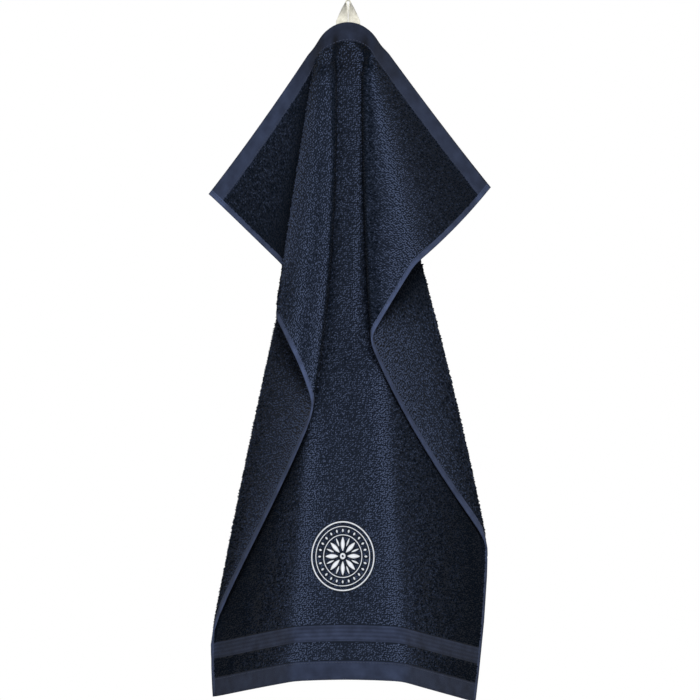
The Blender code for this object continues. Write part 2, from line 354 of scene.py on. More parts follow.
def shade(place, out):
    """Above 0 where the cloth stands proud in the light, and below 0 where it is turned away or deep in
    the folds. The way that its face looks says whether the front map holds for it, or the back one."""
    x, y = (place[:, 0] - MAP_LEFT) / CELL, (MAP_TOP - place[:, 2]) / CELL
    column, row = x.astype(int), y.astype(int)
    right, low = x - column, y - row
    total = np.zeros(len(place))
    for side in (1.0, -1.0):
        behind = []
        for depth in DEPTH_MAPS[side]:
            above = depth[column, row] * (1.0 - right) + depth[column + 1, row] * right
            below = depth[column, row + 1] * (1.0 - right) + depth[column + 1, row + 1] * right
            behind.append((place[:, 1] * side - above * (1.0 - low) - below * low) / MM)
        near, wide = np.clip(behind[0], *NEAR_RANGE), np.clip(behind[1], *WIDE_RANGE)
        depth_shade = (-PROUD_LIGHT * np.minimum(near, 0.0) - SUNKEN_SHADE * np.maximum(near, 0.0)
                       - RECESS_SHADE * wide - BACK_SHADE * (place[:, 1] * side / MM - BACK_LEVEL))
        total += depth_shade * (out[:, 1] * side < 0.0)
    turned_away = np.clip(1.0 - np.abs(out[:, 1]), *TURNED_RANGE) - TURNED_RANGE[0]
    return np.clip(total - TURNED_SHADE * turned_away, *SHADE_RANGE)


edge_place, _, _, edge_front = surface(np.array((-100, 0, 100)) * MM, np.full(3, 690 * MM))
print("shade left, middle and right above the bottom edge:", shade(edge_place, edge_front).round(2))

# %% [markdown]
# ## The ground cloth
# On a real loom the ground is a plain weave, and the hems and selvedges are that weave with no loops. Its
# weave shows on the hems and on the woven band, so its pattern reads a UV map in millimetres of cloth, and
# turns with every fold. Real threads are about 0.5 mm apart. They are drawn 1 mm apart, or the render
# would lose them.

# %% Finish: plain woven cotton, piece dyed navy
# Millimetres of cloth
HEM = 20.0
SELVEDGE = 6.0
BAND_TOP = 642.0
BAND_BOTTOM = 659.0
HALF_WIDE = 250.0
HALF_LONG = 350.0
THREAD_APART = 1.0
RIB_APART = 4.25
# How much the threads, the thicker places along them and the band's ribs change the brightness
WEAVE_LIGHT = 0.86
THREAD_CONTRAST = 0.10
SLUB_CONTRAST = 0.22
RIB_CONTRAST = 0.16
SELVEDGE_PAINTED_LIGHT = 1.1

woven, tree, shader = new_material("plain woven cotton, dyed navy", 0.85, sheen=0.03, gloss=0.15)
cloth_uv = add_node(tree, "UVMap", {"uv_map": "cloth"})
split = add_node(tree, "SeparateXYZ", inputs={"Vector": cloth_uv.outputs["UV"]})


def math_node(operation, first, second=0.0, third=0.0):
    """The result of a Math node in the material that is being made."""
    return add_node(tree, "Math", {"operation": operation}, {0: first, 1: second, 2: third}).outputs[0]


# The map holds metres, so these are millimetres right of the left selvedge and down from the top edge
across_mm = math_node("MULTIPLY", split.outputs["X"], 1000.0)
down_mm = math_node("MULTIPLY", split.outputs["Y"], 1000.0)
beside_middle = math_node("ABSOLUTE", math_node("SUBTRACT", across_mm, HALF_WIDE))
above_or_below_middle = math_node("ABSOLUTE", math_node("SUBTRACT", down_mm, HALF_LONG))
folds = add_node(tree, "Attribute", {"attribute_name": "folds"}).outputs["Fac"]
in_hem = math_node("GREATER_THAN", above_or_below_middle, HALF_LONG - HEM)
in_selvedge = math_node("GREATER_THAN", beside_middle, HALF_WIDE - SELVEDGE)
in_band = math_node("COMPARE", down_mm, (BAND_TOP + BAND_BOTTOM) / 2, (BAND_BOTTOM - BAND_TOP) / 2)
flat_weave = math_node("MAXIMUM", math_node("MAXIMUM", in_hem, in_selvedge), in_band)
warp = math_node("SINE", math_node("MULTIPLY", across_mm, 2 * math.pi / THREAD_APART))
weft = math_node("SINE", math_node("MULTIPLY", down_mm, 2 * math.pi / THREAD_APART))
threads = math_node("MULTIPLY", warp, weft)
rib_wave = math_node("SINE", math_node("MULTIPLY", down_mm, 2 * math.pi / RIB_APART))
ribs = math_node("MULTIPLY", rib_wave, in_band)
blotches = add_node(tree, "TexNoise", inputs={"Vector": cloth_uv.outputs["UV"], "Scale": 60.0, "Detail": 4.0})
slubs = add_node(tree, "TexNoise", inputs={
    "Vector": add_node(tree, "Mapping", inputs={
        "Vector": cloth_uv.outputs["UV"], "Scale": (60.0, 900.0, 1.0)}).outputs["Vector"],
    "Scale": 1.0, "Detail": 3.0})
hem_colour = ramp_colour(tree, blotches.outputs["Fac"], (0.3, "#202739"), (0.75, "#303950"))
thread_light = math_node("MULTIPLY_ADD", threads, THREAD_CONTRAST, WEAVE_LIGHT)
thread_light = math_node("MULTIPLY_ADD", slubs.outputs["Fac"], SLUB_CONTRAST, thread_light)
thread_light = math_node("MULTIPLY_ADD", ribs, RIB_CONTRAST, thread_light)
# The selvedge is painted paler, a painted highlight for the light that its edge catches
thread_light = math_node("MULTIPLY_ADD", in_selvedge, SELVEDGE_PAINTED_LIGHT, thread_light)
# Painted shade and light of the folds, from the attribute that the next cells store in it
thread_light = math_node("MULTIPLY", thread_light, math_node("ADD", folds, 1.05))
lit_hem = mixed_colour(tree, 1.0, hem_colour, thread_light, 'MULTIPLY')
# Painted shade: under the pile the ground is painted far darker than on the hems, for the shade between the
# tufts
under_pile_light = math_node("MULTIPLY_ADD", folds, 1.1, 1.0)
under_pile = mixed_colour(tree, 1.0, linear("#0a1321"), under_pile_light, 'MULTIPLY')
ground = mixed_colour(tree, flat_weave, under_pile, lit_hem)
tree.links.new(ground, shader.inputs["Base Color"])
weave_height = math_node("MULTIPLY_ADD", ribs, 2.2, math_node("ADD", threads, slubs.outputs["Fac"]))
add_bumps(tree, shader, weave_height, 0.5, 0.15 * MM)
print(woven.name, "uses", len(tree.nodes), "nodes")

# %% [markdown]
# ## The sheet
# The sheet is a grid whose columns run along the fan, so that every fold has mesh lines along it and none
# across. The columns lie close at the folds and wider on the flat panels. The grid is made by an operator,
# moved to its place on the drape, and given its thickness by a Solidify modifier.

# %% Lay the mesh lines out along the fan
CLOTH_THICK = 1.8 * MM
ROWS_DOWN = 176
ROW_GROWTH = 1.35
# Two rows of the table farther apart than this have a flat panel between them, and not a bend
PANEL_FROM = 2.0
PANEL_STEP = 1.5
LEAST_STEPS = 4
DENSER_AT_FOLDS = 0.09
END_ROUNDS = 12
TOP_SPREAD_FADES = 6


def fan_lines():
    """Places in the table: 2.5 is half way between the third and fourth line."""
    places = [0.0]
    for row, gap in enumerate(np.diff(FOLD_LINES[:, 0])):
        is_panel = gap > PANEL_FROM
        steps = max(LEAST_STEPS, int(gap / PANEL_STEP)) if is_panel else LEAST_STEPS
        share = np.linspace(0.0, 1.0, steps + 1)[1:]
        # More of a panel's lines lie near its two folds
        places += list(row + share - DENSER_AT_FOLDS * np.sin(2.0 * math.pi * share) * is_panel)
    return np.array(places)


def line_angle(line, reach):
    """The angle on the flat cloth at which a mesh line lies, this far from the top middle."""
    low = np.minimum(line.astype(int), len(ANGLE) - 2)
    share = line - low
    angle = (1.0 - share) * ANGLE[low] + share * ANGLE[low + 1]
    shift = (1.0 - share) * SHIFT[low] + share * SHIFT[low + 1]
    return angle + shift / np.maximum(reach, FAN_START)


def line_end(line):
    """How far each line reaches before it meets a selvedge or the bottom edge."""
    reach = np.full(len(line), CLOTH_LENGTH)
    for _ in range(END_ROUNDS):
        angle = line_angle(line, reach)
        side = CLOTH_WIDTH / 2 / np.maximum(np.abs(np.sin(angle)), SMALLEST_ANGLE)
        reach = np.minimum(side, CLOTH_LENGTH / np.maximum(np.cos(angle), SMALLEST_ANGLE))
    return reach


LINES = fan_lines()
ENDS = line_end(LINES)
print(len(LINES), "mesh lines run down the fan")

# %% A grid that a function puts in place
def placed_grid(name, columns, rows, place_points, material, uv_name="cloth"):
    """A grid of faces. The function gives each point's place and map position from its column and row."""
    mesh = bpy.data.meshes.new(name)
    grid = bmesh.new()
    bmesh.ops.create_grid(grid, x_segments=columns - 1, y_segments=rows - 1, size=1.0)
    co = np.array([vert.co[:2] for vert in grid.verts])
    column = np.rint((co[:, 0] + 1.0) / 2.0 * (columns - 1)).astype(int)
    row = np.rint((1.0 - co[:, 1]) / 2.0 * (rows - 1)).astype(int)
    places, map_uv = place_points(column, row)
    layer = grid.loops.layers.uv.new(uv_name)
    for vert, place in zip(grid.verts, places):
        vert.co = place
    for face in grid.faces:
        for loop in face.loops:
            loop[layer].uv = map_uv[loop.vert.index]
    grid.to_mesh(mesh)
    grid.free()
    mesh.shade_smooth()
    mesh.materials.append(material)
    return add_object(name, mesh)


def add_thickness(piece, thickness):
    solid = piece.modifiers.new("Thickness", 'SOLIDIFY')
    solid.thickness = thickness
    solid.offset = 0.0

# %% The towel's ground cloth
# The flat weave is painted with about a third of the shade that the pile is painted with
WEAVE_SHADE = 0.35
ARCH_SHADE = 0.38
# Millimetres right of the middle, width, and how much paler it is painted: painted shade in two pinches and a
# painted highlight on the ridge between them
HEM_PINCHES = ((-14, 4, -0.5), (20, 6, -0.5), (2, 2, 0.25))
PINCH_MIDDLE, PINCH_LONG = 18 * MM, 9 * MM


def towel_points(column, row):
    share = (row / (ROWS_DOWN - 1)) ** ROW_GROWTH
    reach = share * ENDS[column]
    angle = line_angle(LINES[column], reach)
    # Near the loop the lines start side by side along the top edge, and not at one point
    start = (1.0 - share) ** TOP_SPREAD_FADES * FOLDS_BEGIN * np.sin(angle)
    u, v = reach * np.sin(angle) + start, reach * np.cos(angle)
    return drape(u, v), np.stack((u + CLOTH_WIDTH / 2, v), axis=1)


towel_ground = placed_grid("towel_ground_cloth", len(LINES), ROWS_DOWN, towel_points, woven)
cloth_u, cloth_v = np.array([uv.vector[:] for uv in towel_ground.data.uv_layers[0].uv]).T
corner_vertex = np.array([loop.vertex_index for loop in towel_ground.data.loops])
vertex_u, vertex_v = np.zeros(len(towel_ground.data.vertices)), np.zeros(len(towel_ground.data.vertices))
vertex_u[corner_vertex], vertex_v[corner_vertex] = cloth_u - CLOTH_WIDTH / 2, cloth_v
place, _, _, front = surface(vertex_u, vertex_v)
folds_shade = WEAVE_SHADE * shade(place, front)
# Painted light and shade: the top hem is painted pale away from the loop, dark on the arch and darkest in the
# pinches beside the loop
from_top_middle = np.hypot(vertex_u, vertex_v)
on_top_hem = vertex_v < (HEM + 4.0) * MM
folds_shade += ARCH_SHADE * on_top_hem * smooth_step(from_top_middle, 60 * MM, 110 * MM)
folds_shade -= ARCH_SHADE * (1.0 - smooth_step(from_top_middle, 30 * MM, 75 * MM))
for pinch_u, wide, paler in HEM_PINCHES:
    folds_shade += paler * np.exp(-((vertex_u - pinch_u * MM) / (wide * MM)) ** 2
                                  - ((vertex_v - PINCH_MIDDLE) / PINCH_LONG) ** 2)
towel_ground.data.attributes.new("folds", 'FLOAT', 'POINT').data.foreach_set(
    "value", folds_shade.astype(np.float32))
add_thickness(towel_ground, CLOTH_THICK)
print("ground cloth:", len(towel_ground.data.polygons) * 4, "triangles with both faces")

# %% [markdown]
# ## The pile
# Terry's grain is thousands of small loops of yarn that lean every way. A bump map gives the grain but
# leaves folds and edges as smooth as plastic, so each loop here is a real, tiny roof-shaped tuft. One tuft
# is modelled, and numpy sets a copy of it every 2.25 mm on both faces. A hair system would be finer, but
# slow, and tufts any closer would make the meshes heavy.

# %% Finish: cotton pile loops, piece dyed navy
pile, tree, shader = new_material("cotton terry loops, dyed navy", 0.95, sheen=0.01, gloss=0.04)
# Yarn takes the dye unevenly, so each tuft has a tone of its own. The tone also carries painted shade and
# painted highlights of the folds, and each tuft is painted darker towards its roots, as painted shade
tone = add_node(tree, "Attribute", {"attribute_name": "tone"})
height = add_node(tree, "Attribute", {"attribute_name": "height"})
where = add_node(tree, "TexCoord")
fuzz = add_node(tree, "TexNoise", inputs={"Vector": where.outputs["Object"], "Scale": 1400.0, "Detail": 2.0})
light_part = math_node("MULTIPLY_ADD", fuzz.outputs["Fac"], 0.4, tone.outputs["Fac"])
yarn = ramp_colour(tree, light_part, (0.1, "#050c17"), (1.0, "#55617e"))
# Painted shade: the roots are painted darker than the tips of the loops
rooted = mixed_colour(tree, height.outputs["Fac"], linear("#07101b"), yarn)
tree.links.new(rooted, shader.inputs["Base Color"])
add_bumps(tree, shader, fuzz.outputs["Fac"], 0.6, 0.3 * MM)

# %% One tuft
# Half the length of its ridge, where its base is 1 long
RIDGE_HALF = 0.26

tuft = bmesh.new()
bmesh.ops.create_cube(tuft, size=1.0)
bmesh.ops.translate(tuft, verts=tuft.verts, vec=(0.0, 0.0, 0.5))
for end in (-1.0, 1.0):
    top = [vert for vert in tuft.verts if vert.co.z > 0.5 and vert.co.x * end > 0.0]
    bmesh.ops.pointmerge(tuft, verts=top, merge_co=(RIDGE_HALF * end, 0.0, 1.0))
bottom = [face for face in tuft.faces if all(vert.co.z < 0.5 for vert in face.verts)]
bmesh.ops.delete(tuft, geom=bottom, context='FACES_ONLY')
bmesh.ops.triangulate(tuft, faces=tuft.faces)
tuft.verts.index_update()
TUFT_POINTS = np.array([vert.co[:] for vert in tuft.verts])
TUFT_FACES = np.array([[vert.index for vert in face.verts] for face in tuft.faces])
tuft.free()
print("one tuft has", len(TUFT_FACES), "triangles")

# %% Copies of a small shape as one mesh
random = np.random.default_rng(20)


def joined_copies(name, points, faces, places, axes, material, tone=None):
    """One mesh with a copy of a small shape at each place, along that place's own three scaled axes."""
    co = places[:, None, :] + np.einsum("pk,nkd->npd", points, axes)
    all_faces = faces[None, :, :] + (np.arange(len(places)) * len(points))[:, None, None]
    mesh = bpy.data.meshes.new(name)
    mesh.from_pydata(co.reshape(-1, 3), [], all_faces.reshape(-1, 3))
    if tone is not None:
        tones = mesh.attributes.new("tone", 'FLOAT', 'POINT')
        tones.data.foreach_set("value", np.repeat(tone, len(points)).astype(np.float32))
        heights = mesh.attributes.new("height", 'FLOAT', 'POINT')
        heights.data.foreach_set("value", np.tile(points[:, 2], len(places)).astype(np.float32))
    mesh.shade_smooth()
    mesh.materials.append(material)
    print(name, "has", len(all_faces) * len(faces), "triangles")
    return add_object(name, mesh)

# %% [markdown]
# ## The rosette's place
# White embroidery sits low in the middle of the towel. It is planned before the pile, because the pile
# leaves room for it. The design is a plain one: an eight-petalled rosette inside a ring of beads and a
# stitched rim. Each motif is a path on the flat cloth with a half-width at each of its points.

# %% Plan the rosette on the flat cloth
ROSETTE_U = -4 * MM
ROSETTE_V = 569 * MM
RIM = 36.4 * MM
LEAF_FULLNESS = 0.8
LEAF_TIP = 0.15 * MM
BEADS = 24
PETALS = 8


def ring_path(radius, half_width, count=96):
    """A ring about the rosette's middle: x, y and half-width at each of its points."""
    angle = np.linspace(0.0, 2.0 * math.pi, count)
    return radius * np.cos(angle), radius * np.sin(angle), np.full(count, half_width)


def leaf_path(inner, outer, half_width, turn, count=12):
    """A leaf that points away from the middle, widest half way."""
    t = np.linspace(0.0, 1.0, count)
    radius = inner + (outer - inner) * t
    leaf_width = np.maximum(half_width * np.sin(math.pi * t) ** LEAF_FULLNESS, LEAF_TIP)
    return radius * math.cos(turn), radius * math.sin(turn), leaf_width


motifs = [ring_path(RIM, 0.75 * MM), ring_path(31.6 * MM, 0.4 * MM), ring_path(22.6 * MM, 0.4 * MM)]
for bead in range(BEADS):
    motifs.append(leaf_path(25.6 * MM, 28.9 * MM, 1.15 * MM, bead * 2 * math.pi / BEADS, count=7))
for petal in range(PETALS):
    motifs.append(leaf_path(5.6 * MM, 20.2 * MM, 2.5 * MM, petal * 2 * math.pi / PETALS))
    # A narrow leaf stands between two petals
    motifs.append(leaf_path(11.5 * MM, 20.4 * MM, 1.0 * MM, (petal + 0.5) * 2 * math.pi / PETALS))
motifs.append(ring_path(2.3 * MM, 1.1 * MM, count=24))
thread_points = np.array([(x, y, w) for path in motifs for x, y, w in zip(*path)])
print("the rosette has", len(motifs), "motifs")

# %% Where the tufts stand
PITCH = 2.25 * MM
OUT_OF_PLACE = 0.35
# Room between the pile and the flat weave or the embroidery
PILE_GAP = 0.9
first_u, last_u = -CLOTH_WIDTH / 2 + (SELVEDGE + PILE_GAP) * MM, CLOTH_WIDTH / 2 - (SELVEDGE + 0.5) * MM
steps_u = np.arange(first_u, last_u, PITCH)
steps_v = np.arange((HEM + PILE_GAP) * MM, CLOTH_LENGTH - (HEM + 0.5) * MM, PITCH)
grid_u, grid_v = (g.ravel() for g in np.meshgrid(steps_u, steps_v))


def pile_places():
    """Tuft roots on the flat cloth: a grid with every point a little out of place, and gaps left free."""
    u = grid_u + random.uniform(-OUT_OF_PLACE, OUT_OF_PLACE, len(grid_u)) * PITCH
    v = grid_v + random.uniform(-OUT_OF_PLACE, OUT_OF_PLACE, len(grid_v)) * PITCH
    free = (v < (BAND_TOP - PILE_GAP) * MM) | (v > (BAND_BOTTOM + PILE_GAP) * MM)
    return u[free], v[free]


def clear_of_rosette(u, v):
    """Which tufts stand beside the embroidery's threads, and not in them."""
    x, y = u - ROSETTE_U, v - ROSETTE_V
    clear = np.ones(len(u), bool)
    near = np.flatnonzero(np.hypot(x, y) < RIM + 3 * MM)
    gap = np.hypot(x[near, None] - thread_points[None, :, 0], y[near, None] - thread_points[None, :, 1])
    clear[near] = (gap - thread_points[None, :, 2]).min(axis=1) > PILE_GAP * MM
    return clear

# %% Painted light and shade in streaks along the folds
# Each streak fades in and out over twice this length
PAINTED_STREAK_FADE = 30 * MM
# Degrees and a shift as for the fold lines, how far down, how wide, how much lighter it is painted, and on
# which side
PAINTED_STREAKS = np.array((
    # angle  shift   from    to   wide   tone  side
    (48.2,    -8.0,   30,   350,   3.5, -1.20,  1),  # edge of the wing, a dark painted line
    (48.2,     0.0,   30,   340,   9.0, -0.72,  1),  # inner side of the wing, beside its edge,
    (48.2,    14.0,   30,   330,  12.0, -0.22,  1),  # and farther from it
    (62.0,     0.0,   90,   300,  15.0,  0.34,  1),  # ridge of the wing
    (-49.0,   -2.0,   90,   420,   7.0,  0.20,  1),  # ridge of the pleat
    (-41.0,   -2.0,   60,   420,  12.0, -0.32,  1),  # its right side
    (-38.2,    6.0,   20,   430,   3.5, -1.20,  1),  # its right edge, a dark painted line
    (0.0,     -1.0,   40,   330,  12.0,  0.24,  1),  # the middle between the pleat and the wing
    (0.0,     10.0,   30,   330,   4.5,  0.45,  1),  # its ridge beside the wing
    (-4.1,   -11.0,  430,   700,   9.0,  0.12,  1),  # left ridge of the middle
    (4.4,     11.0,  380,   700,   8.0,  0.28,  1),  # right ridge of the middle
    (-28.5,    0.0,  300,   700, 105.0,  0.62, -1),  # turned flap at the left
    (34.5,     0.0,  300,   700, 105.0,  0.55, -1),  # turned flap at the right
)) * np.array((math.pi / 180, MM, MM, MM, MM, 1.0, 1.0))


def painted_streaks_along_folds(u, v, side):
    """How much lighter or darker the pile is painted in streaks along the folds: painted highlights and
    painted shade.
    """
    reach, angle = np.hypot(u, v), np.arctan2(u, v)
    change = np.zeros(len(u))
    for line, shift, begin, end, wide, amount, on_side in PAINTED_STREAKS:
        if on_side == side:
            beside = reach * (angle - line) - shift
            begun = smooth_step(reach, begin - PAINTED_STREAK_FADE, begin + PAINTED_STREAK_FADE)
            ended = smooth_step(reach, end - PAINTED_STREAK_FADE, end + PAINTED_STREAK_FADE)
            change += amount * begun * (1.0 - ended) * np.exp(-(beside / wide) ** 2)
    return change

# %% Grow the pile on both faces
TUFT_LONG = 2.2 * MM
TUFT_WIDE = 1.35 * MM
TUFT_ROOT = 0.15 * MM
NEIGHBOUR = 9 * MM
# Millimetres that the cloth bulges, and how much lighter the pile is painted there: a painted highlight on
# the outside of a fold, painted shade in a trough, and a dark painted line at a sharp edge.
BULGES = (-1.5, 0.0, 1.2, 1.9, 2.8)
PAINTED_RIDGES = (-1.2, 0.0, 1.0, 0.2, -1.4)
PAINTED_RIDGE_STRENGTH = 0.24
TONE_SPREAD = 0.7


def bulge(u, v, place, out):
    """How far the cloth stands out past the mean of its neighbours: above 0 on a ridge."""
    steps = ((NEIGHBOUR, 0.0), (-NEIGHBOUR, 0.0), (0.0, NEIGHBOUR), (0.0, -NEIGHBOUR))
    around = sum(drape(u + du, v + dv) for du, dv in steps) / 4
    return ((place - around) * out).sum(axis=1)


pile_pieces = []
for side, label in ((1.0, "front"), (-1.0, "back")):
    u, v = pile_places()
    if side > 0.0:
        clear = clear_of_rosette(u, v)
        u, v = u[clear], v[clear]
    place, along_u, along_v, front = surface(u, v)
    out = front * side
    # The loops lie slantwise across the weft, more or less
    turn = random.normal(0.75, 0.5, len(u))[:, None]
    long_way = along_u * np.cos(turn) + np.cross(out, along_u) * np.sin(turn)
    wide_way = np.cross(out, long_way)
    lean = random.normal(0.0, 0.3, (len(u), 3)) + along_v * 0.3
    tall = random.uniform(0.8, 1.3, len(u))[:, None] * MM
    axes = np.stack((long_way * TUFT_LONG, wide_way * TUFT_WIDE, (out + lean) * tall), axis=1)
    roots = place + out * (CLOTH_THICK / 2 - TUFT_ROOT)
    # Painted highlight where the cloth bulges out, painted shade in troughs and a dark painted line at sharp
    # edges
    ridge_light_and_shade = np.interp(bulge(u, v, place, out) / MM, BULGES, PAINTED_RIDGES)
    tone = random.uniform(0.0, TONE_SPREAD, len(u)) + PAINTED_RIDGE_STRENGTH * ridge_light_and_shade
    # Painted shade of the folds, and the painted streaks along them, go into each tuft's tone
    tone += shade(place, out) + painted_streaks_along_folds(u, v, side)
    for half, part in (("left", u < 0.0), ("right", u >= 0.0)):
        pile_pieces.append(joined_copies(f"terry_pile_{label}_{half}", TUFT_POINTS, TUFT_FACES,
                                         roots[part], axes[part], pile, tone[part]))

# %% [markdown]
# ## Sewing
# The hems are turned and sewn with one row of stitches just inside their edge. One stitch is a short
# spindle of thread, copied every 3.6 mm along each row, on both faces.

# %% Finish: cotton sewing thread, navy
thread_navy, tree, shader = new_material("cotton sewing thread, navy", 0.7, sheen=0.05, gloss=0.3)
where = add_node(tree, "TexCoord")
ply = add_node(tree, "TexNoise", inputs={"Vector": where.outputs["Object"], "Scale": 2500.0, "Detail": 1.0})
ply_tone = ramp_colour(tree, ply.outputs["Fac"], (0.0, "#1b2233"), (1.0, "#3a445c"))
tree.links.new(ply_tone, shader.inputs["Base Color"])

# %% Sew the hems and the selvedges
stitch = bmesh.new()
bmesh.ops.create_cone(stitch, cap_ends=False, segments=5, radius1=0.5, radius2=0.5, depth=0.5)
for end in (-1.0, 1.0):
    rim = [vert for vert in stitch.verts if vert.co.z * end > 0.0]
    edges = [edge for edge in stitch.edges if all(vert in rim for vert in edge.verts)]
    made = bmesh.ops.extrude_edge_only(stitch, edges=edges)["geom"]
    tip = [item for item in made if isinstance(item, bmesh.types.BMVert)]
    bmesh.ops.pointmerge(stitch, verts=tip, merge_co=(0.0, 0.0, 0.5 * end))
bmesh.ops.triangulate(stitch, faces=stitch.faces)
bmesh.ops.recalc_face_normals(stitch, faces=stitch.faces)
stitch.verts.index_update()
STITCH_POINTS = np.array([vert.co[:] for vert in stitch.verts])
STITCH_FACES = np.array([[vert.index for vert in face.verts] for face in stitch.faces])
stitch.free()

STITCH_PITCH = 3.6 * MM
STITCH_LONG = 2.7 * MM
STITCH_WIDE = 0.7 * MM
STITCH_FLATTER = 0.7
STITCH_LIFT = 0.05 * MM
SEAM_IN = 1.6 * MM
SEAM_ENDS = 4 * MM
across_row = np.arange(-CLOTH_WIDTH / 2 + SEAM_ENDS, CLOTH_WIDTH / 2 - SEAM_ENDS, STITCH_PITCH)
down_row = np.arange(SEAM_ENDS, CLOTH_LENGTH - SEAM_ENDS, STITCH_PITCH)
hem_seams = (HEM * MM - SEAM_IN, CLOTH_LENGTH - HEM * MM + SEAM_IN)
side_seam = CLOTH_WIDTH / 2 - SELVEDGE * MM + SEAM_IN
# Each seam: how far right and down its stitches lie, and whether it runs down the cloth
seams = [(across_row, np.full(len(across_row), v), 0) for v in hem_seams]
seams += [(np.full(len(down_row), u), down_row, 1) for u in (-side_seam, side_seam)]
seam_u = np.concatenate([seam[0] for seam in seams])
seam_v = np.concatenate([seam[1] for seam in seams])
runs_down = np.concatenate([np.full(len(seam[0]), seam[2]) for seam in seams])[:, None]
place, along_u, along_v, front = surface(seam_u, seam_v)
row_way = along_u * (1 - runs_down) + along_v * runs_down
stitch_places, stitch_axes = [], []
for side in (1.0, -1.0):
    out = front * side
    stitch_places.append(place + out * (CLOTH_THICK / 2 + STITCH_LIFT))
    # These three ways are right-handed, or each stitch would be a mirror image, with its faces inward
    stitch_axes.append(np.stack((np.cross(out, row_way) * STITCH_WIDE, out * (STITCH_WIDE * STITCH_FLATTER),
                                 row_way * STITCH_LONG), axis=1))
sewing = joined_copies("hem_stitches", STITCH_POINTS, STITCH_FACES, np.concatenate(stitch_places),
                       np.concatenate(stitch_axes), thread_navy)

# %% [markdown]
# ## Embroidery
# Satin stitch is many parallel threads side by side across a shape, with a soft crown. Each motif is a
# strip of grid with a domed section, laid on the cloth along its path. The threads are lines across the
# strip, drawn 0.8 mm apart where real ones are 0.4 mm, so that they show.

# %% Finish: white rayon embroidery thread
STRAND_APART = 0.8 * MM
rayon, tree, shader = new_material("rayon embroidery thread, white", 0.42, sheen=0.1)
thread_uv = add_node(tree, "UVMap", {"uv_map": "thread"})
split = add_node(tree, "SeparateXYZ", inputs={"Vector": thread_uv.outputs["UV"]})
strands = math_node("SINE", math_node("MULTIPLY", split.outputs["X"], 2.0 * math.pi / STRAND_APART))
strand_light = math_node("MULTIPLY_ADD", strands, 0.5, 0.5)
strand_tone = ramp_colour(tree, strand_light, (0.0, "#cdd3de"), (1.0, "#fbfcff"))
tree.links.new(strand_tone, shader.inputs["Base Color"])
add_bumps(tree, shader, strands, 0.5, 0.12 * MM)

# %% Embroider the rosette
STRIP_COLUMNS = 5
CROWN = 0.9 * MM
# Strips narrower than this on each side of their middle have a lower crown
FULL_CROWN_FROM = 0.6 * MM
STRIP_LIFT = 0.35 * MM
EDGE_TUCK = 0.5 * MM
THREAD_THICK = 0.3 * MM
rosette_strips = []
for number, (x, y, half_width) in enumerate(motifs):
    along = np.concatenate(((0.0,), np.cumsum(np.hypot(np.diff(x), np.diff(y)))))
    way_x, way_y = np.gradient(x), np.gradient(y)
    length = np.maximum(np.hypot(way_x, way_y), 1e-9)
    if np.hypot(x[0] - x[-1], y[0] - y[-1]) < 0.01 * MM:
        # A closed ring's two ends run the same way
        for way in (way_x, way_y):
            way[0] = way[-1] = (way[0] + way[-1]) / 2

    def strip_points(column, row):
        side = column / (STRIP_COLUMNS - 1) * 2.0 - 1.0
        u = ROSETTE_U + x[row] - way_y[row] / length[row] * half_width[row] * side
        v = ROSETTE_V + y[row] + way_x[row] / length[row] * half_width[row] * side
        place, _, _, front = surface(u, v)
        crown = CROWN * (1.0 - side ** 2) * np.minimum(half_width[row] / FULL_CROWN_FROM, 1.0)
        lift = CLOTH_THICK / 2 + STRIP_LIFT + crown - EDGE_TUCK * side ** 4
        return place + front * lift[:, None], np.stack((along[row], half_width[row] * side), axis=1)

    rosette_strips.append(
        placed_grid(f"motif_{number}", STRIP_COLUMNS, len(x), strip_points, rayon, "thread"))
with bpy.context.temp_override(active_object=rosette_strips[0], selected_editable_objects=rosette_strips):
    bpy.ops.object.join()
rosette = rosette_strips[0]
rosette.name = "embroidered_rosette"
cleaned = bmesh.new()
cleaned.from_mesh(rosette.data)
bmesh.ops.recalc_face_normals(cleaned, faces=cleaned.faces)
cleaned.to_mesh(rosette.data)
cleaned.free()
add_thickness(rosette, THREAD_THICK)
print("the rosette has", len(rosette.data.polygons), "faces before its thickness")

# %% [markdown]
# ## The hanging loop
# The loop is a flat cotton tape. It goes over the hook on edge, turns as it comes down, and its two ends
# are sewn flat behind the hem. So it is a strip whose section turns along a short table. It follows the
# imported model's tape a little more tightly, with finer rows and a woven twill.

# %% Finish: cotton twill tape, undyed
TWILL_APART = 1.1 * MM
tape, tree, shader = new_material("cotton twill tape, undyed", 0.8, sheen=0.1, gloss=0.3)
tape_uv = add_node(tree, "UVMap", {"uv_map": "tape"})
split = add_node(tree, "SeparateXYZ", inputs={"Vector": tape_uv.outputs["UV"]})
diagonal = math_node("ADD", split.outputs["X"], math_node("ABSOLUTE", split.outputs["Y"]))
twill = math_node("SINE", math_node("MULTIPLY", diagonal, 2.0 * math.pi / TWILL_APART))
stain = add_node(tree, "TexNoise", inputs={"Vector": tape_uv.outputs["UV"], "Scale": 220.0, "Detail": 3.0})
twill_tone = math_node("MULTIPLY_ADD", twill, 0.14, stain.outputs["Fac"])
tape_tone = ramp_colour(tree, twill_tone, (0.25, "#c9c5b4"), (0.7, "#efecdf"))
tree.links.new(tape_tone, shader.inputs["Base Color"])
add_bumps(tree, shader, twill, 0.5, 0.15 * MM)

# %% Bend and turn the tape
TAPE_WIDTH = 12.5 * MM
TAPE_THICK = 1.0 * MM
TAPE_SEWN = 14 * MM
TAPE_GAP = 0.6 * MM
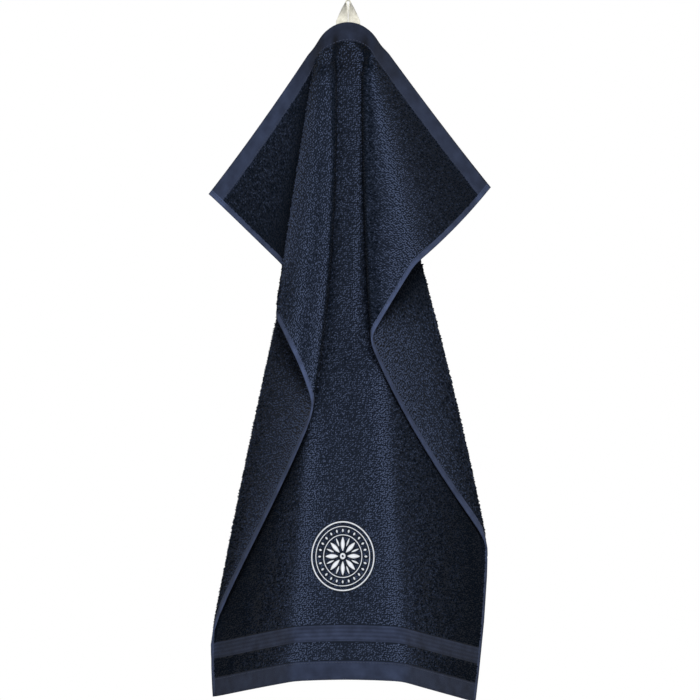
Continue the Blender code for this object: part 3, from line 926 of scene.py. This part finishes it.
# Between these distances below the hook the tape settles against the back of the hem
TAPE_LEAVES_HOOK = 12 * MM
TAPE_ON_HEM = 21 * MM
TAPE_ON_HEM_LEAN = 0.2
TURN_SHIFTS = (-1.5, 0.0, 1.5)
HOOK_RADIUS = 2.1 * MM
TAPE_LEG = np.array((
    #   z   apart   turn
    (-2.6,   2.6,   2.0),
    (-4.0,   2.7,   9.0),
    (-5.5,   2.9,  17.0),
    (-8.0,   3.4,  25.0),
    (-10.7,  3.95, 32.0),
    (-13.4,  4.6,  39.0),
    (-16.0,  5.2,  47.0),
    (-18.5,  5.8,  57.0),
    (-21.0,  6.3,  70.0),
    (-23.0, 6.65,  90.0),
)) * np.array((MM, MM, math.pi / 180))
TAPE_COLUMNS, TAPE_ROWS = 15, 121
bend = HOOK_RADIUS + TAPE_THICK / 2
arc = bend * math.pi / 2
heights = -TAPE_LEG[:, 0]
half_length = arc + heights[-1] - bend + TAPE_SEWN


def tape_points(column, row):
    signed = (row / (TAPE_ROWS - 1) * 2.0 - 1.0) * half_length
    side, along = np.sign(signed), np.abs(signed)
    width = (column / (TAPE_COLUMNS - 1) - 0.5) * TAPE_WIDTH
    over = np.clip(along / arc, 0.0, 1.0) * math.pi / 2
    below = np.clip(along - arc, 0.0, None) + bend
    on_hook = along < arc
    apart = np.where(on_hook, bend * np.sin(over), np.interp(below, heights, TAPE_LEG[:, 1]))
    drop = np.where(on_hook, bend * (1.0 - np.cos(over)), below)
    # The turn is averaged over its neighbours, so that the table's steps don't show
    turn = sum(np.interp(below + shift * MM, heights, TAPE_LEG[:, 2]) for shift in TURN_SHIFTS) / 3
    turn = np.where(on_hook, 0.0, turn)
    x = side * (apart - width * np.sin(turn))
    y = -width * np.cos(turn)
    hem = drape(x, np.maximum(drop - HEM_DROP, 0.0))
    behind = hem[:, 1] + CLOTH_THICK / 2 + TAPE_GAP + TAPE_THICK / 2
    to_hem = smooth_step(below, TAPE_LEAVES_HOOK, TAPE_ON_HEM)
    y = y * (1.0 - to_hem) + (behind + TAPE_ON_HEM_LEAN * y) * to_hem
    return np.stack((x, y, TAPE_THICK / 2 - drop), axis=1), np.stack((signed, width), axis=1)


loop = placed_grid("loop_tape", TAPE_COLUMNS, TAPE_ROWS, tape_points, tape, "tape")
add_thickness(loop, TAPE_THICK)

# %% [markdown]
# ## What each piece stands for
# Each piece rides on the towel's one body. The fine cloth takes the place of the solid one, and the fine
# tape that of the solid tape.

# %% Tell the frame about the pieces
on_the_cloth = pile_pieces + [sewing, rosette]
for piece in [towel_ground, loop] + on_the_cloth:
    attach(piece, "root")
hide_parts("towel")
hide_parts("hanging_loop")

# %% [markdown]
# ## The studio
# The towel hangs in front of white, over a pale floor, and is lit softly from the upper front, and from
# behind for those who walk round it. The camera stands far back with a long lens, so that the folds keep
# their sizes.

# %% The floor
FLOOR_HALF = 3.0
FLOOR_LEVEL = -1.35

floor_plane = bmesh.new()
bmesh.ops.create_grid(floor_plane, x_segments=1, y_segments=1, size=FLOOR_HALF)
bmesh.ops.translate(floor_plane, verts=floor_plane.verts, vec=(0.0, 0.0, FLOOR_LEVEL))
floor_mesh = bpy.data.meshes.new("floor")
floor_plane.to_mesh(floor_mesh)
floor_plane.free()
floor = add_object("floor", floor_mesh)
plaster, tree, shader = new_material("matt plaster floor, white", 0.9)
shader.inputs["Base Color"].default_value = linear("#eeeeec")
floor_mesh.materials.append(plaster)
floor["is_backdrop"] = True
print("the floor is", 2 * FLOOR_HALF, "m wide")

# %% The backdrop
FILL_STRENGTH = 0.10

world = bpy.data.worlds.new("studio white")
world.use_nodes = True
# The backdrop is pure white, but it sends little light, or the folds would lose their shade
backdrop = world.node_tree.nodes["Background"]
backdrop.inputs["Color"].default_value = (1.0, 1.0, 1.0, 1.0)
backdrop.inputs["Strength"].default_value = 1.0
fill = add_node(world.node_tree, "Background", inputs={
    "Color": (0.93, 0.96, 1.0, 1.0), "Strength": FILL_STRENGTH})
seen = add_node(world.node_tree, "LightPath")
chosen = add_node(world.node_tree, "MixShader", inputs={
    "Fac": seen.outputs["Is Camera Ray"], 1: fill.outputs["Background"], 2: backdrop.outputs["Background"]})
world.node_tree.links.new(chosen.outputs["Shader"], world.node_tree.nodes["World Output"].inputs["Surface"])
bpy.context.scene.world = world
bpy.context.scene.view_settings.view_transform = 'Standard'
print("the backdrop is", world.name)

# %% Lights and camera
TOWEL_MIDDLE = (0.0, 0.0, -0.4)
FRAME_WIDTH = 0.7458
FRAME_MIDDLE = (0.002, -0.3722)
CAMERA_FAR = 6.0


def softbox(name, place, size, power):
    """A round soft lamp of this size in metres and power in watts, aimed at the towel's middle."""
    lamp = bpy.data.lights.new(name, 'AREA')
    lamp.shape = 'DISK'
    lamp.size = size
    lamp.energy = power
    holder = add_object(name, lamp)
    holder.location = place
    holder.rotation_euler = (Vector(TOWEL_MIDDLE) - Vector(place)).to_track_quat('-Z', 'Y').to_euler()


softbox("main softbox, raised in front", (0.3, -4.0, 1.2), 1.2, 165.0)
softbox("fill, level in front", (-0.5, -3.2, -0.6), 1.4, 10.0)
softbox("back softbox, for the other views", (0.5, 4.0, 1.0), 1.4, 120.0)

lens = bpy.data.cameras.new("camera")
lens.sensor_width = 36.0
lens.lens = lens.sensor_width * CAMERA_FAR / FRAME_WIDTH
lens.clip_end = 30.0
camera = add_object("camera", lens)
camera.location = (FRAME_MIDDLE[0], -CAMERA_FAR, FRAME_MIDDLE[1])
camera.rotation_euler = (math.pi / 2, 0.0, 0.0)
bpy.context.scene.camera = camera
print("lens:", round(lens.lens), "mm")

# %% Compare the sizes and finish
visual_box = [list(corner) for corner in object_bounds()]
for low_high, cad, visual in zip(("lowest", "highest"), cad_box, visual_box):
    print(low_high, "corner, packed and dressed:", [round(x, 4) for x in cad], [round(x, 4) for x in visual])
